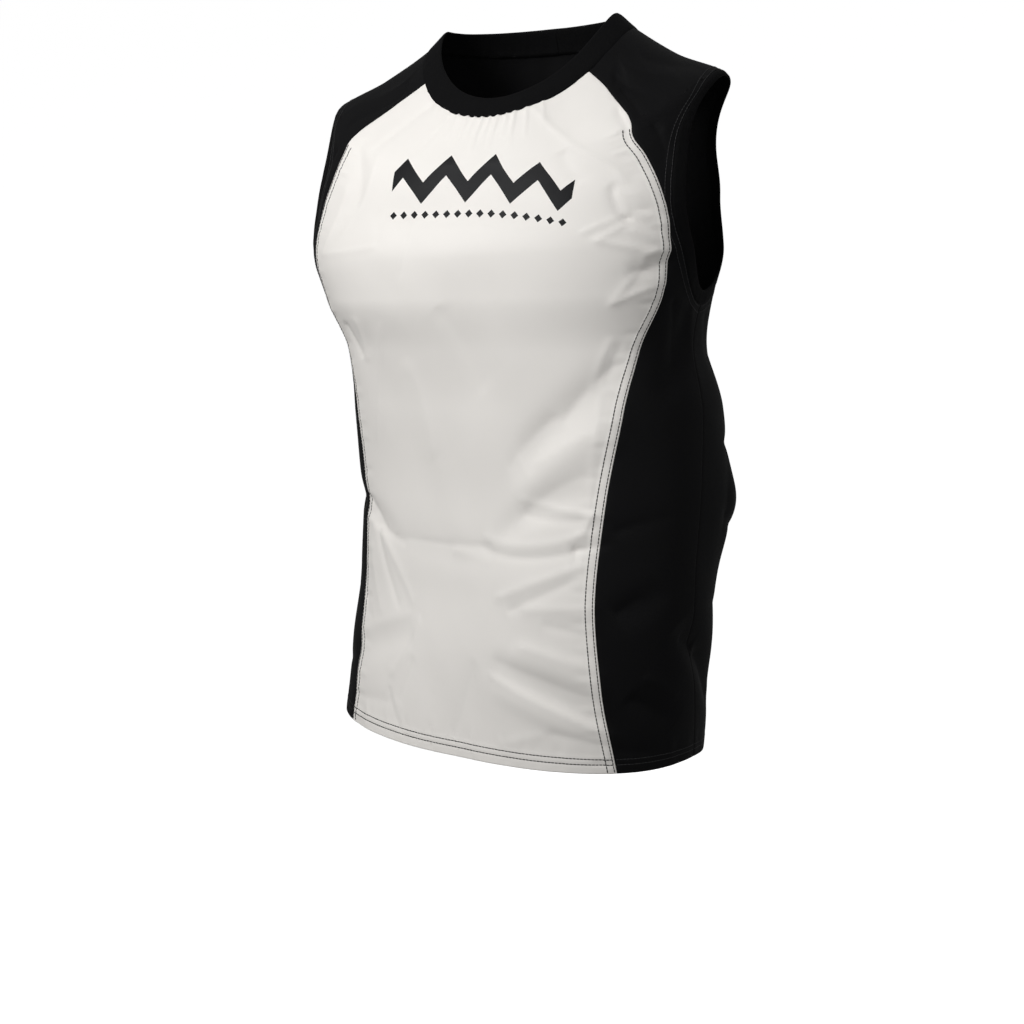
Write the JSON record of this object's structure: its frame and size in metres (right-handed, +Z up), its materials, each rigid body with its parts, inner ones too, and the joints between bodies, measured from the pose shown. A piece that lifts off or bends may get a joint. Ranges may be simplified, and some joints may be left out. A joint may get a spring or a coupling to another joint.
{
  "type": "windproof vest",
  "caption": "Sleeveless windproof sports vest in its worn, hollow form, with a pale woven front panel between dark stretch shoulders, sides and back.",
  "frame": {"origin": "between the two points where the shoulder seams meet the edge of the neck, at their height, where the vest rests on the wearer's shoulders", "axes": "+Z up along the body, -Y the way the wearer faces, +X towards the wearer's left"},
  "size_m": [0.3883, 0.2644, 0.6604],
  "materials": {
    "white_windproof": "smooth dense weave with a faint sheen",
    "black_stretch": "matt smooth stretch knit",
    "black_binding": "matt folded binding"
  },
  "bodies": {
    "root": {"front_panel": "white_windproof", "front_side_left": "black_stretch", "front_side_right": "black_stretch", "back_panel": "black_stretch", "neck_band": "black_binding", "armhole_band_left": "black_binding", "armhole_band_right": "black_binding"}
  },
  "joints": []
}
